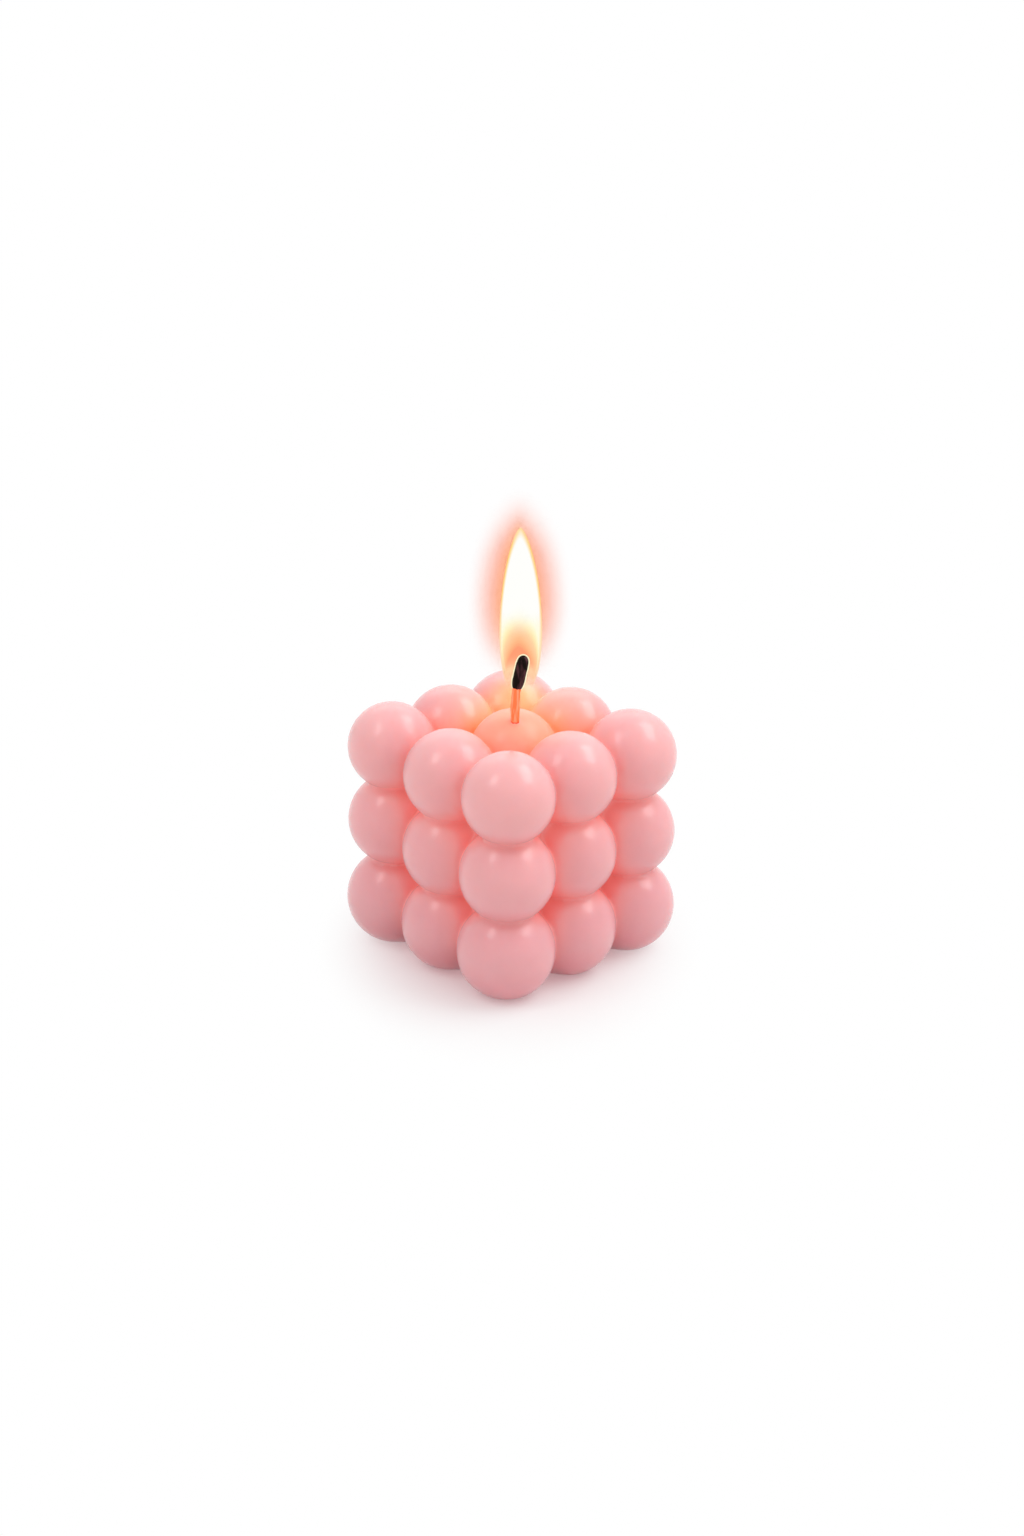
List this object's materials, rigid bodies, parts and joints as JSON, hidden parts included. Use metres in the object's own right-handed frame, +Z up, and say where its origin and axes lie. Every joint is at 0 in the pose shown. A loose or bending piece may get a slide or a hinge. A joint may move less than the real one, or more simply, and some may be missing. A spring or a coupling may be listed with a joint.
{
  "type": "bubble cube candle",
  "caption": "Cube-shaped pillar candle cast as a block of fused round bubbles, with a cotton wick that is burning.",
  "frame": {"origin": "centre of the flat base, on the surface that the candle stands on", "axes": "+Z up through the cube; X and Y run along the rows of bubbles, and the picture looks at the edge between the +X face and the -Y face"},
  "size_m": [0.0604, 0.0604, 0.102],
  "materials": {
    "wax": "satin",
    "wick_cotton": "matte",
    "flame_gas": "matte"
  },
  "bodies": {
    "root": {"wax_body": "wax", "wick": "wick_cotton", "flame": "flame_gas"}
  },
  "joints": []
}
